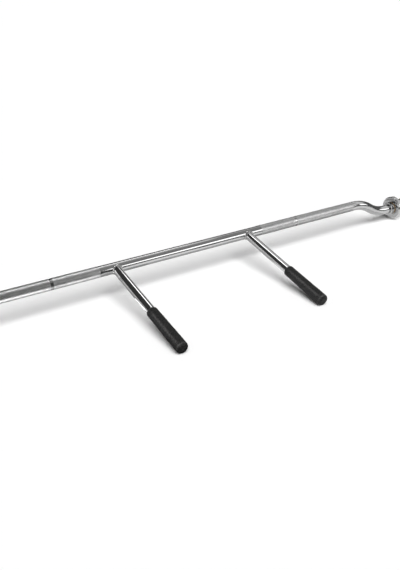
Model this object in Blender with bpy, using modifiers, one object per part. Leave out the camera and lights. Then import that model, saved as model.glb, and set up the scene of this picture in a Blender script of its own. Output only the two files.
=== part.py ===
"""Safety squat bar: a cambered shaft with two welded handles and two turning sleeves.

The bar lies as in the photograph, on the flanges of its sleeves and the tips of its grips.
+X runs along the shaft, the handles reach towards -Y, +Z is up and the floor is z = 0.
The origin is on the floor, under the middle of the bar's outline.
"""
import math

import bmesh
import bpy
from mathutils import Matrix, Vector

# Driving dimensions, in metres unless the name says degrees.

# Shaft
shaft_diameter = 0.031
knurl_relief = 0.0002            # height of the rolled knurl above the smooth shaft
knurl_inner_x = 0.2695           # knurling starts here, either side of the middle
knurl_outer_x = 0.648            # and ends here, short of the bend
ring_mark_x = 0.405              # centre of the smooth ring mark in the knurling
ring_mark_width = 0.008
bend_start_x = 0.660
bend_radius = 0.150              # centreline radius of both arcs of the S bend
camber_drop = 0.045              # the sleeves' axis lies this far below the shaft's axis
straight_after_bend = 0.012      # straight bar between the bend and the thrust collar
journal_diameter = 0.030         # turned end of the shaft, inside the sleeve
journal_chamfer = 0.0015

# Handles
handle_spacing = 0.4398          # between the axes of the two handle tubes
handle_tube_diameter = 0.0254
handle_tube_wall = 0.0025
weld_size = 0.0040               # radius of the weld bead before it is cut to its seat
grip_start = 0.207               # from the shaft's axis to the inner end of the grip
grip_length = 0.156
grip_inner_diameter = 0.0309     # outside of the grip, at its inner end
grip_outer_diameter = 0.0330     # outside of the grip, at its domed tip
grip_tip_wall = 0.008            # rubber over the open end of the tube
grip_rim_length = 0.004          # length of the rounding at the inner end of the grip
grip_rim_land = 0.0005           # flat left round the bore by that rounding
grip_tip_radius = 0.009

# Thrust collar, pressed on the shaft inboard of each sleeve
collar_diameter = 0.044
collar_length = 0.014
collar_edge = 0.001

# Sleeves
sleeve_diameter = 0.050
sleeve_bore = 0.0366
loading_length = 0.330           # from the flange's outer face to the sleeve's end
flange_diameter = 0.078
flange_thickness = 0.018
flange_edge_radius = 0.004
sleeve_edge = 0.0015
counterbore_diameter = 0.0426
counterbore_depth = 0.030

# Bearings and what keeps the sleeve on the shaft
bushing_length = 0.045
bushing_flange_diameter = 0.042
bushing_flange_thickness = 0.0025
washer_diameter = 0.040
washer_thickness = 0.002
shaft_ring_thickness = 0.00175
shaft_ring_depth = 0.0018        # how deep the ring sits in its groove
shaft_ring_height = 0.0040       # from the ring's bore to its outer edge
shaft_ring_gap = 0.010           # opening between the ends of the ring
shaft_end_length = 0.0035        # shaft outboard of the ring's groove

# End cap and its internal ring
cap_thickness = 0.006
cap_dome = 0.0015
cap_ring_thickness = 0.0015
cap_ring_depth = 0.0012
cap_ring_height = 0.0022
cap_ring_gap = 0.012
cap_recess = 0.0045              # from the sleeve's end to the outer face of the ring

# Clearances
seat = 0.0003                    # between pieces that touch or are pressed together
running = 0.0003                 # between the journal and the bushings

# Roundness of the solids
round_sides = 24
bend_steps = 7                   # chords in one arc of the bend
rim_steps = 4                    # chords in the rounding of the grip's inner end
tip_steps = 6                    # chords in the rounding of the grip's tip
edge_steps = 3                   # chords in the rounding of a flange's edge
dome_steps = 4
weld_steps = 40
weld_sides = 8

# Places worked out from the driving dimensions

shaft_radius = shaft_diameter / 2
journal_radius = journal_diameter / 2
sleeve_radius = sleeve_diameter / 2
flange_radius = flange_diameter / 2
handle_radius = handle_tube_diameter / 2
grip_end = grip_start + grip_length
corner_ratio = 1 / math.cos(math.pi / round_sides)   # corner to flat, on a many-sided round

bend_angle = math.acos(1 - camber_drop / (2 * bend_radius))
bend_end_x = bend_start_x + 2 * bend_radius * math.sin(bend_angle)
collar_x = bend_end_x + straight_after_bend
bushing_x = collar_x + collar_length + seat
sleeve_x = bushing_x + bushing_flange_thickness + seat
sleeve_end_x = sleeve_x + flange_thickness + loading_length
shoulder_x = sleeve_end_x - counterbore_depth
outer_bushing_x = shoulder_x + seat + bushing_flange_thickness
washer_x = outer_bushing_x + seat
shaft_ring_x = washer_x + washer_thickness + seat
shaft_end_x = shaft_ring_x + shaft_ring_thickness + 2 * seat + shaft_end_length
journal_x = bushing_x
cap_ring_x = sleeve_end_x - cap_recess - cap_ring_thickness
cap_x = cap_ring_x - seat - cap_thickness

sleeve_axis_z = flange_radius
shaft_axis_z = sleeve_axis_z + camber_drop


def grip_profile():
    """Outline of the grip as (distance from the shaft's axis, radius), rim to tip."""
    rim = grip_inner_diameter / 2
    tip = grip_outer_diameter / 2
    rim_height = rim - handle_radius - seat - grip_rim_land
    points = []
    for i in range(rim_steps + 1):
        angle = math.pi / 2 * i / rim_steps
        along = grip_start + grip_rim_length * (1 - math.cos(angle))
        points.append((along, rim - rim_height * (1 - math.sin(angle))))
    for i in range(tip_steps + 1):
        angle = math.pi / 2 * i / tip_steps
        along = grip_end - grip_tip_radius * (1 - math.sin(angle))
        points.append((along, tip - grip_tip_radius * (1 - math.cos(angle))))
    return points


def lowest_grip_point(droop):
    """Height of the grip's lowest edge when the handle hangs down by this angle."""
    outline = grip_profile()
    heights = [shaft_axis_z - along * math.sin(droop) - radius * math.cos(droop)
               for along, radius in outline]
    return min(heights)


def resting_droop():
    """Angle of the handles below the level, with the tips of the grips on the floor."""
    low, high = 0.0, math.radians(40)
    for _ in range(50):
        middle = (low + high) / 2
        if lowest_grip_point(middle) > 0:
            low = middle
        else:
            high = middle
    return low


handle_droop = resting_droop()
reach = max(along * math.cos(handle_droop) + radius * math.sin(handle_droop)
            for along, radius in grip_profile())
shaft_axis_y = (reach - flange_radius) / 2
shaft_centre = Vector((0, shaft_axis_y, shaft_axis_z))
sleeve_centre = Vector((0, shaft_axis_y, sleeve_axis_z))


def start_scene():
    """Empties the scene and makes the two collections."""
    for old in list(bpy.data.objects):
        bpy.data.objects.remove(old, do_unlink=True)
    parts = bpy.data.collections.new("safety_squat_bar")
    cutters = bpy.data.collections.new("cutters")
    bpy.context.scene.collection.children.link(parts)
    bpy.context.scene.collection.children.link(cutters)
    return parts, cutters


def make_material(name, colour, roughness, metallic):
    material = bpy.data.materials.new(name)
    material.use_nodes = True
    surface = material.node_tree.nodes["Principled BSDF"]
    surface.inputs["Base Color"].default_value = (*colour, 1)
    surface.inputs["Roughness"].default_value = roughness
    surface.inputs["Metallic"].default_value = metallic
    return material


def place(name, mesh, material, collection, matrix=None):
    """Adds a mesh as a named object with its material, at its place in the world."""
    piece = bpy.data.objects.new(name, mesh)
    if material:
        mesh.materials.clear()
        mesh.materials.append(material)
    collection.objects.link(piece)
    if matrix is not None:
        piece.matrix_world = matrix
    return piece


def shade(piece):
    piece.data.shade_smooth()
    piece.data.set_sharp_from_angle(angle=math.radians(35))


def profile_mesh(name, outline, closed):
    """A mesh of one outline of (x, radius) points, in the local XY plane.

    Its corners lie outside the true circle, so that the flats of the solid touch it.
    """
    mesh = bpy.data.meshes.new(name)
    edges = [(i, i + 1) for i in range(len(outline) - 1)]
    if closed:
        edges.append((len(outline) - 1, 0))
    mesh.from_pydata([(x, radius * corner_ratio, 0) for x, radius in outline], edges, [])
    return mesh


def turned(name, outline, material, collection, matrix, closed=True, sweep=360):
    """Turns an outline of (x, radius) points about the local X axis.

    A closed outline makes a ring. An open one starts and ends on the axis and makes a solid.
    A sweep under a full turn leaves a gap between the ends of the ring.
    """
    piece = place(name, profile_mesh(name, outline, closed), material, collection, matrix)
    screw = piece.modifiers.new("turn", "SCREW")
    screw.axis = "X"
    screw.angle = math.radians(sweep)
    screw.steps = round_sides
    screw.render_steps = round_sides
    screw.use_merge_vertices = True
    screw.merge_threshold = 0.00001
    bake(piece)
    if sweep < 360:
        close_ends(piece)
    face_out(piece)
    shade(piece)
    return piece


def bake(piece):
    """Applies the object's modifiers."""
    graph = bpy.context.evaluated_depsgraph_get()
    evaluated = piece.evaluated_get(graph)
    mesh = bpy.data.meshes.new_from_object(evaluated, depsgraph=graph)
    old = piece.data
    piece.modifiers.clear()
    mesh.name = old.name + "_solid"
    piece.data = mesh
    bpy.data.meshes.remove(old)


def close_ends(piece):
    """Fills the two open end faces of a ring that stops short of a full turn."""
    work = bmesh.new()
    work.from_mesh(piece.data)
    bmesh.ops.holes_fill(work, edges=[edge for edge in work.edges if edge.is_boundary])
    work.to_mesh(piece.data)
    work.free()


def face_out(piece):
    """Turns the faces of a closed body outwards."""
    work = bmesh.new()
    work.from_mesh(piece.data)
    bmesh.ops.remove_doubles(work, verts=work.verts, dist=0.000005)
    bmesh.ops.recalc_face_normals(work, faces=work.faces)
    if work.calc_volume(signed=True) < 0:
        bmesh.ops.reverse_faces(work, faces=work.faces)
    work.to_mesh(piece.data)
    work.free()


def solid_from_curve(name, points, radii, radius, sides, closed, collection, tilt=0.0):
    """A round bar along a path of points, as a closed mesh.

    radii are the shares of the radius at the points, sides the flats round the bar, and
    tilt turns its cross-section.
    """
    curve = bpy.data.curves.new(name, "CURVE")
    curve.dimensions = "3D"
    curve.twist_mode = "MINIMUM" if closed else "Z_UP"
    curve.bevel_depth = radius
    curve.bevel_resolution = (sides - 4) // 2
    curve.use_fill_caps = not closed
    spline = curve.splines.new("POLY")
    spline.points.add(len(points) - 1)
    for point, place_at, share in zip(spline.points, points, radii):
        point.co = (*place_at, 1)
        point.radius = share
        point.tilt = tilt
    spline.use_cyclic_u = closed
    guide = bpy.data.objects.new(name + "_path", curve)
    collection.objects.link(guide)
    graph = bpy.context.evaluated_depsgraph_get()
    mesh = bpy.data.meshes.new_from_object(guide.evaluated_get(graph), depsgraph=graph)
    mesh.name = name
    bpy.data.objects.remove(guide, do_unlink=True)
    return mesh


def cut(piece, cutter, operation="DIFFERENCE"):
    """Cuts the piece with the cutter, or joins the cutter to it."""
    boolean = piece.modifiers.new(operation.lower(), "BOOLEAN")
    boolean.operation = operation
    boolean.solver = "EXACT"
    boolean.object = cutter
    bake(piece)
    cutter.hide_render = True
    cutter.display_type = "WIRE"


def turn_about_x():
    """Half a flat's turn, so that a flat of a round piece faces the floor and not a corner."""
    return Matrix.Rotation(math.pi / round_sides, 4, "X")


def side_matrix(side, centre):
    """Frame of an end of the bar: local +X runs outwards along the axis through centre."""
    turn = Matrix.Identity(4) if side > 0 else Matrix.Rotation(math.pi, 4, "Z")
    return Matrix.Translation(centre) @ turn @ turn_about_x()


def handle_matrix(side):
    """Frame of a handle: local +X runs from the shaft's axis to the tip of the grip."""
    foot = Matrix.Translation(shaft_centre + Vector((side * handle_spacing / 2, 0, 0)))
    forwards = Matrix.Rotation(-math.pi / 2, 4, "Z")
    downwards = Matrix.Rotation(handle_droop, 4, "X")
    return foot @ downwards @ forwards @ turn_about_x()


def shaft_outline():
    """Half of the shaft's centreline as ((x, z), radius share), from the middle outwards.

    z is measured down from the shaft's axis. The knurled lengths stand proud by the relief,
    and the ring mark in them is as smooth and as thin as the middle.
    """
    plain = 1.0
    knurled = 1 + knurl_relief / shaft_radius
    step = knurl_relief
    path = [((knurl_inner_x - step, 0), plain), ((knurl_inner_x, 0), knurled)]
    ring_in = ring_mark_x - ring_mark_width / 2
    ring_out = ring_mark_x + ring_mark_width / 2
    path += [((ring_in - step, 0), knurled), ((ring_in, 0), plain)]
    path += [((ring_out, 0), plain), ((ring_out + step, 0), knurled)]
    path += [((knurl_outer_x, 0), knurled), ((knurl_outer_x + step, 0), plain)]
    for i in range(bend_steps + 1):
        angle = bend_angle * i / bend_steps
        x = bend_start_x + bend_radius * math.sin(angle)
        path.append(((x, bend_radius * (1 - math.cos(angle))), plain))
    for i in range(1, bend_steps + 1):
        angle = bend_angle * (1 - i / bend_steps)
        x = bend_end_x - bend_radius * math.sin(angle)
        path.append(((x, camber_drop - bend_radius * (1 - math.cos(angle))), plain))
    path.append(((journal_x, camber_drop), plain))
    return path


def make_shaft(steel, parts, cutters):
    """The one-piece shaft: bent bar with a turned and grooved journal at each end."""
    half = shaft_outline()
    whole = [((-x, z), share) for (x, z), share in reversed(half)] + half
    points = [(x, shaft_axis_y, shaft_axis_z - z) for (x, z), share in whole]
    shares = [share for place_at, share in whole]
    half_flat = math.pi / round_sides
    mesh = solid_from_curve("shaft", points, shares, shaft_radius * corner_ratio,
                            round_sides, False, cutters, half_flat)
    shaft = place("shaft", mesh, steel, parts)
    face_out(shaft)
    groove_radius = journal_radius - shaft_ring_depth
    groove_start = shaft_ring_x - seat
    groove_end = shaft_ring_x + shaft_ring_thickness + seat
    start = journal_x - collar_length
    outline = [
        (start, 0),
        (start, journal_radius),
        (groove_start, journal_radius),
        (groove_start, groove_radius),
        (groove_end, groove_radius),
        (groove_end, journal_radius),
        (shaft_end_x - journal_chamfer, journal_radius),
        (shaft_end_x, journal_radius - journal_chamfer),
        (shaft_end_x, 0),
    ]
    for side, word in ((-1, "left"), (1, "right")):
        matrix = side_matrix(side, sleeve_centre)
        name = word + "_journal"
        journal = turned(name, outline, None, cutters, matrix, closed=False)
        bpy.context.view_layer.update()
        cut(shaft, journal, "UNION")
    face_out(shaft)
    shade(shaft)
    return shaft


def make_handle(side, word, steel, weld_steel, rubber, parts, cutters):
    """A handle: tube coped to the shaft, weld bead round its foot and grip on its end."""
    matrix = handle_matrix(side)
    bore = handle_radius - handle_tube_wall
    tube_end = grip_end - grip_tip_wall
    outline = [(0, bore), (0, handle_radius), (tube_end, handle_radius), (tube_end, bore)]
    tube = turned(word + "_handle_tube", outline, steel, parts, matrix)
    foot_x = side * handle_spacing / 2
    saddle = round_cutter(word + "_tube_cope", shaft_radius + seat, foot_x, cutters)
    cut(tube, saddle)
    face_out(tube)
    shade(tube)
    make_weld(word, matrix, saddle, weld_steel, parts, cutters)
    make_grip(word, matrix, rubber, parts)


def round_cutter(name, radius, centre_x, cutters):
    """A cylinder along the shaft's axis, a little longer than a handle tube is wide."""
    length = 4 * handle_tube_diameter
    outline = [(-length / 2, 0), (-length / 2, radius), (length / 2, radius), (length / 2, 0)]
    centre = shaft_centre + Vector((centre_x, 0, 0))
    matrix = Matrix.Translation(centre) @ turn_about_x()
    cutter = turned(name, outline, None, cutters, matrix, closed=False)
    cutter.hide_render = True
    cutter.display_type = "WIRE"
    bpy.context.view_layer.update()
    return cutter


def make_weld(word, matrix, saddle, steel, parts, cutters):
    """The weld bead: a round bead along the joint, with the tube and the shaft cut away.

    The joint is where two cylinders meet at a right angle. At the angle t round the tube of
    radius r it lies at sqrt(R^2 - (r sin t)^2) from the axis of the shaft of radius R.
    """
    points = []
    for i in range(weld_steps):
        angle = 2 * math.pi * i / weld_steps
        across = handle_radius * math.cos(angle)
        upwards = handle_radius * math.sin(angle)
        along = math.sqrt(shaft_radius ** 2 - upwards ** 2)
        points.append((along, across, upwards))
    name = word + "_handle_weld"
    shares = [1.0] * weld_steps
    mesh = solid_from_curve(name, points, shares, weld_size, weld_sides, True, cutters)
    level = matrix @ turn_about_x().inverted()
    weld = place(name, mesh, steel, parts, level)
    face_out(weld)
    radius = handle_radius + seat
    length = 3 * shaft_diameter
    outline = [(-length, 0), (-length, radius), (length, radius), (length, 0)]
    core = turned(word + "_weld_core", outline, None, cutters, matrix, closed=False)
    bpy.context.view_layer.update()
    cut(weld, core)
    cut(weld, saddle)
    face_out(weld)
    shade(weld)


def make_grip(word, matrix, rubber, parts):
    """The moulded grip: a closed sleeve over the tube, flared to a rounded tip."""
    bore = handle_radius + seat
    bore_end = grip_end - grip_tip_wall + seat
    outline = [(bore_end, 0), (bore_end, bore), (grip_start, bore)]
    outline += grip_profile()
    outline.append((grip_end, 0))
    turned(word + "_grip", outline, rubber, parts, matrix, closed=False)


def make_sleeve(side, word, materials, parts):
    """One end of the bar: thrust collar, turning sleeve with its bearings, and the end cap."""
    matrix = side_matrix(side, sleeve_centre)
    make_collar(word, matrix, materials["chrome"], parts)
    make_sleeve_tube(word, matrix, materials["chrome"], parts)
    make_flange(word, matrix, materials["chrome"], parts)
    make_bushings(word, matrix, materials["bronze"], parts)
    make_retainers(word, matrix, materials["dark_steel"], parts)
    make_end_cap(word, matrix, materials, parts)


def make_collar(word, matrix, steel, parts):
    outer = collar_diameter / 2
    inner = shaft_radius + seat
    end = collar_x + collar_length
    outline = [
        (collar_x, inner),
        (collar_x, outer - collar_edge),
        (collar_x + collar_edge, outer),
        (end - collar_edge, outer),
        (end, outer - collar_edge),
        (end, inner),
    ]
    turned(word + "_thrust_collar", outline, steel, parts, matrix)


def make_sleeve_tube(word, matrix, steel, parts):
    """The sleeve: bored for the bushings, counterbored and grooved for the end cap."""
    bore = sleeve_bore / 2
    seat_radius = counterbore_diameter / 2
    groove = seat_radius + cap_ring_depth
    groove_start = cap_ring_x - seat
    groove_end = cap_ring_x + cap_ring_thickness + seat
    outline = [
        (sleeve_x, bore),
        (sleeve_x, sleeve_radius),
        (sleeve_end_x - sleeve_edge, sleeve_radius),
        (sleeve_end_x, sleeve_radius - sleeve_edge),
        (sleeve_end_x, seat_radius),
        (groove_end, seat_radius),
        (groove_end, groove),
        (groove_start, groove),
        (groove_start, seat_radius),
        (shoulder_x, seat_radius),
        (shoulder_x, bore),
    ]
    turned(word + "_sleeve_tube", outline, steel, parts, matrix)


def make_flange(word, matrix, steel, parts):
    """The plate stop at the foot of the sleeve, with rounded edges."""
    inner = sleeve_radius + seat
    end = sleeve_x + flange_thickness
    outline = [(sleeve_x, inner)]
    for i in range(edge_steps + 1):
        angle = math.pi / 2 * i / edge_steps
        along = sleeve_x + flange_edge_radius * (1 - math.cos(angle))
        outline.append((along, flange_radius - flange_edge_radius * (1 - math.sin(angle))))
    for i in range(edge_steps + 1):
        angle = math.pi / 2 * i / edge_steps
        along = end - flange_edge_radius * (1 - math.sin(angle))
        outline.append((along, flange_radius - flange_edge_radius * (1 - math.cos(angle))))
    outline.append((end, inner))
    turned(word + "_sleeve_flange", outline, steel, parts, matrix)


def make_bushings(word, matrix, bronze, parts):
    """Two flanged bushings, one seated in each end of the sleeve's bore."""
    inner = journal_radius + running
    outer = sleeve_bore / 2 - seat
    rim = bushing_flange_diameter / 2
    inboard = [
        (bushing_x, inner),
        (bushing_x, rim),
        (bushing_x + bushing_flange_thickness, rim),
        (bushing_x + bushing_flange_thickness, outer),
        (bushing_x + bushing_length, outer),
        (bushing_x + bushing_length, inner),
    ]
    turned(word + "_inboard_bushing", inboard, bronze, parts, matrix)
    outboard = [
        (outer_bushing_x - bushing_length, inner),
        (outer_bushing_x - bushing_length, outer),
        (outer_bushing_x - bushing_flange_thickness, outer),
        (outer_bushing_x - bushing_flange_thickness, rim),
        (outer_bushing_x, rim),
        (outer_bushing_x, inner),
    ]
    turned(word + "_outboard_bushing", outboard, bronze, parts, matrix)


def make_retainers(word, matrix, steel, parts):
    """The thrust washer and the open retaining ring that hold the sleeve on the shaft."""
    inner = journal_radius + running
    end = washer_x + washer_thickness
    washer = [(washer_x, inner), (washer_x, washer_diameter / 2),
              (end, washer_diameter / 2), (end, inner)]
    turned(word + "_thrust_washer", washer, steel, parts, matrix)
    root = journal_radius - shaft_ring_depth + seat
    top = root + shaft_ring_height
    end = shaft_ring_x + shaft_ring_thickness
    ring = [(shaft_ring_x, root), (shaft_ring_x, top), (end, top), (end, root)]
    sweep = 360 - math.degrees(shaft_ring_gap / top)
    turned(word + "_shaft_ring", ring, steel, parts, matrix, sweep=sweep)


def make_end_cap(word, matrix, materials, parts):
    """The slightly domed end cap and the open ring that snaps in over it."""
    radius = counterbore_diameter / 2 - seat
    face = cap_x + cap_thickness
    rim = radius - cap_ring_height
    cap = [(cap_x, 0), (cap_x, radius), (face, radius), (face, rim - seat)]
    for i in range(1, dome_steps):
        share = i / dome_steps
        cap.append((face + cap_dome * (1 - (1 - share) ** 2), (rim - seat) * (1 - share)))
    cap.append((face + cap_dome, 0))
    turned(word + "_end_cap", cap, materials["chrome"], parts, matrix, closed=False)
    top = counterbore_diameter / 2 + cap_ring_depth - seat
    root = top - cap_ring_height
    end = cap_ring_x + cap_ring_thickness
    ring = [(cap_ring_x, root), (cap_ring_x, top), (end, top), (end, root)]
    sweep = 360 - math.degrees(cap_ring_gap / root)
    turned(word + "_end_cap_ring", ring, materials["dark_steel"], parts, matrix, sweep=sweep)


def make_safety_squat_bar():
    parts, cutters = start_scene()
    materials = {
        "chrome": make_material("chrome", (0.78, 0.79, 0.80), 0.06, 1.0),
        "weld_steel": make_material("chromed_weld", (0.70, 0.71, 0.72), 0.22, 1.0),
        "rubber": make_material("black_rubber", (0.018, 0.018, 0.019), 0.55, 0.0),
        "bronze": make_material("bearing_bronze", (0.56, 0.40, 0.22), 0.35, 1.0),
        "dark_steel": make_material("spring_steel", (0.16, 0.16, 0.17), 0.40, 1.0),
    }
    make_shaft(materials["chrome"], parts, cutters)
    for side, word in ((-1, "left"), (1, "right")):
        make_handle(side, word, materials["chrome"], materials["weld_steel"],
                    materials["rubber"], parts, cutters)
        make_sleeve(side, word, materials, parts)
    for cutter in cutters.objects:
        cutter.hide_render = True
        cutter.display_type = "WIRE"
    return parts


make_safety_squat_bar()
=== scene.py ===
import math

import bpy
import numpy as np
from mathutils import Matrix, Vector


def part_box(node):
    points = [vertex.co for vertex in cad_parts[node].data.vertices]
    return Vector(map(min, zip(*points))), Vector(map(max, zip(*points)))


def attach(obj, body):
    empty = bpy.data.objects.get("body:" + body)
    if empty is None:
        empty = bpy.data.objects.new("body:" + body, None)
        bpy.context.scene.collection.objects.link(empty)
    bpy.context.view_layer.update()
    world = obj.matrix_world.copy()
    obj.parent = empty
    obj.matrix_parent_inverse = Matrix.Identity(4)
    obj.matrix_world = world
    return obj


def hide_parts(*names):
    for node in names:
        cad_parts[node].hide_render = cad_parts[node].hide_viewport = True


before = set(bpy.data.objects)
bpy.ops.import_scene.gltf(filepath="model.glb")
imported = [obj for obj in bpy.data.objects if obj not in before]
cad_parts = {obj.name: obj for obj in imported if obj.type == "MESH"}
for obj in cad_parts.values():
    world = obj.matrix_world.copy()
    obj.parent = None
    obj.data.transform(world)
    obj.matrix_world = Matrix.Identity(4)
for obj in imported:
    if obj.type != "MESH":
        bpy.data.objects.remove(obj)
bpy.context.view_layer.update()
print("frame loaded")

# Lengths are in metres and angles in degrees. The bar lies along X, the handles reach to -Y.

bar = {
    "axisY": 0.159443,           # the shaft's axis
    "axisZ": 0.084,
    "radius": 0.0155,
    "bendStart": 0.660,
    "bendRadius": 0.150,
    "drop": 0.045,               # from the shaft's axis down to the sleeves' axis
    "journalStart": 0.844335,
    "journalRadius": 0.015,
    "grooveStart": 1.170235,
    "grooveEnd": 1.172585,
    "grooveRadius": 0.0132,
    "endChamfer": 0.0015,
    "end": 1.176385,
    "around": 96,
    "bendRows": 30,
    "plainRows": (0.09, 0.18),   # rows of points between the middle and the knurling
}

# Each bend turns by this angle, in radians, and back by as much.
bendTurn = math.acos(1 - bar["drop"] / (2 * bar["bendRadius"]))
bendEnd = bar["bendStart"] + 2 * bar["bendRadius"] * math.sin(bendTurn)

handles = {
    "spacing": 0.4398,
    "droop": 11.019,             # below the level
    "radius": 0.0127,
    "wall": 0.0025,
    "tubeEnd": 0.355,            # from the shaft's axis
    "rootGap": 0.0003,           # between the foot of the tube and the shaft
    "around": 96,
}

sides = (("left", -1), ("right", 1))
shaftMiddle = np.array([0, bar["axisY"], bar["axisZ"]])
sleeveMiddle = np.array([0, bar["axisY"], bar["axisZ"] - bar["drop"]])


# Camera: placed from the middle of the shaft's axis, as a fit to the photograph gave it.

cameraPlace = {
    "offset": (-0.899734, -1.495192, 0.786892),
    "yaw": 32.5174,
    "pitch": 27.3109,
    "lens": 41.986,
    "sensor": 36.0,
}


def addCamera(place):
    data = bpy.data.cameras.new("camera")
    data.lens = place["lens"]
    data.sensor_width = place["sensor"]
    camera = bpy.data.objects.new("camera", data)
    camera.location = Vector(shaftMiddle) + Vector(place["offset"])
    camera.rotation_euler = (math.radians(90 - place["pitch"]), 0, math.radians(-place["yaw"]))
    bpy.context.scene.collection.objects.link(camera)
    bpy.context.scene.camera = camera


addCamera(cameraPlace)
bpy.context.scene.view_settings.view_transform = "Standard"
print("camera placed")


# Shapes

# Vectors divided by their lengths.
def unit(vectors):
    return vectors / np.maximum(np.linalg.norm(vectors, axis=-1, keepdims=True), 1e-12)


# A polyline whose corners are swapped for curves that begin and end the given length away:
# (1-t)^2 times the point before, plus 2t(1-t) times the corner, plus t^2 times the point after.
def softCorners(corners, lengths, steps=7):
    corners = np.array(corners, float)
    lengths = np.array(lengths, float)[:, None]
    before = corners + lengths * unit(np.roll(corners, 1, axis=0) - corners)
    after = corners + lengths * unit(np.roll(corners, -1, axis=0) - corners)
    t = np.linspace(0, 1, steps)[None, :, None]
    curve = (1 - t) ** 2 * before[:, None] + 2 * t * (1 - t) * corners[:, None]
    curve = (curve + t ** 2 * after[:, None]).reshape(-1, 2)
    apart = np.linalg.norm(curve - np.roll(curve, 1, axis=0), axis=1) > 1e-7
    return curve[apart]


# A surface turned about an axis: origin, plus the distance along it, plus the radius times
# (cos t of one cross direction plus sin t of the other), with t once round.
def turnedGrid(profile, origin, axis, across, upwards, around):
    t = 2 * np.pi * np.arange(around) / around
    ring = np.cos(t)[:, None] * across + np.sin(t)[:, None] * upwards
    along = profile[:, 0, None, None] * axis
    return origin + along + profile[:, 1, None, None] * ring[None]


# The points and faces of a grid whose rows are closed rings. In a loop the last ring joins
# the first; otherwise each end ring is closed by a fan round its own middle point.
def shell(grid, loop):
    rows, columns = grid.shape[:2]
    here = np.arange(rows * columns).reshape(rows, columns)
    if loop:
        start, end = here, np.roll(here, -1, axis=0)
    else:
        start, end = here[:-1], here[1:]
    quads = np.stack([start, end, np.roll(end, -1, axis=1), np.roll(start, -1, axis=1)], axis=-1)
    points = grid.reshape(-1, 3)
    if loop:
        return points, [quads.reshape(-1, 4)]
    count = rows * columns
    first, last = here[0], here[-1]
    startFan = np.stack([first, np.roll(first, -1), np.full(columns, count)], axis=-1)
    endFan = np.stack([np.roll(last, -1), last, np.full(columns, count + 1)], axis=-1)
    points = np.concatenate([points, [grid[0].mean(axis=0)], [grid[-1].mean(axis=0)]])
    return points, [quads.reshape(-1, 4), startFan, endFan]


# Six times the space inside a closed mesh, less than nothing where its faces look inwards.
def signedSpace(points, faces):
    total = 0.0
    for block in faces:
        corners = points[block]
        for second in range(1, block.shape[1] - 1):
            crossed = np.cross(corners[:, second], corners[:, second + 1])
            total += np.einsum("ij,ij->", corners[:, 0], crossed)
    return total


def addMesh(name, points, polygons, material):
    mesh = bpy.data.meshes.new(name)
    mesh.from_pydata(points, [], polygons)
    mesh.update()
    mesh.materials.append(material)
    piece = bpy.data.objects.new(name, mesh)
    bpy.context.scene.collection.objects.link(piece)
    return piece


def addPiece(name, points, faces, material, body, stands, sharpAngle=32.0):
    if signedSpace(points - points.mean(axis=0), faces) < 0:
        faces = [block[:, ::-1] for block in faces]
    polygons = [face for block in faces for face in block.tolist()]
    piece = addMesh(name, points.tolist(), polygons, material)
    piece.data.shade_smooth()
    piece.data.set_sharp_from_angle(angle=math.radians(sharpAngle))
    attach(piece, body)
    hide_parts(*stands)
    return piece


# A number at each point, which a material reads by name.
def markPoints(piece, name, values):
    layer = piece.data.attributes.new(name, "FLOAT", "POINT")
    layer.data.foreach_set("value", np.asarray(values, np.float32))


# Effects that several materials share

def addNode(tree, kind, **settings):
    node = tree.nodes.new(kind)
    for key, value in settings.items():
        setattr(node, key, value)
    return node


# Sets inputs by name: a socket is linked to the input, and anything else is its value.
def setInputs(node, **values):
    for key, value in values.items():
        socket = node.inputs[key.replace("_", " ")]
        if isinstance(value, bpy.types.NodeSocket):
            node.id_data.links.new(value, socket)
        else:
            socket.default_value = value


def mapRange(tree, source, low, high, toLow, toHigh):
    node = addNode(tree, "ShaderNodeMapRange")
    for place, value in zip((1, 2, 3, 4), (low, high, toLow, toHigh)):
        node.inputs[place].default_value = value
    tree.links.new(source, node.inputs[0])
    return node.outputs[0]


# The sum or product of two sockets, or of a socket and a number.
def combine(tree, operation, first, second, clamp=False):
    node = addNode(tree, "ShaderNodeMath", operation=operation, use_clamp=clamp)
    tree.links.new(first, node.inputs[0])
    if isinstance(second, float):
        node.inputs[1].default_value = second
    else:
        tree.links.new(second, node.inputs[1])
    return node.outputs[0]


def newGroup(name, inputs, outputs):
    group = bpy.data.node_groups.new(name, "ShaderNodeTree")
    for label, kind in inputs:
        group.interface.new_socket(label, in_out="INPUT", socket_type="NodeSocket" + kind)
    for label in outputs:
        group.interface.new_socket(label, in_out="OUTPUT", socket_type="NodeSocketFloat")
    return group, addNode(group, "NodeGroupInput"), addNode(group, "NodeGroupOutput")


sharedLook = {
    "dullBands": (0.40, 0.68),   # levels of the noise between which each effect comes in
    "smudges": (0.46, 0.66),
    "streaks": (0.35, 0.70),
    "specks": (0.10, 0.22),
    "mottle": (0.35, 0.65),
    "faintest": 0.2,             # level of a streak
    "finerStreaks": 9.0,         # times as fine as the finger marks
    "finerSpecks": 60.0,
    "slowerTone": 0.08,          # times as fine as the grain
}


# Fine lines left by polishing or turning. The vector is squeezed along the lines.
def makeHairlines():
    tree, start, end = newGroup("hairlines", [("Vector", "Vector")], ["Height", "Dulling"])
    vector = start.outputs["Vector"]
    fine = addNode(tree, "ShaderNodeTexNoise")
    setInputs(fine, Vector=vector, Scale=1.0, Detail=4.0, Roughness=0.65)
    bands = addNode(tree, "ShaderNodeTexNoise")
    setInputs(bands, Vector=vector, Scale=0.06, Detail=3.0, Roughness=0.6)
    dulling = mapRange(tree, bands.outputs["Fac"], *sharedLook["dullBands"], 0, 1)
    setInputs(end, Height=fine.outputs["Fac"], Dulling=dulling)
    return tree


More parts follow.
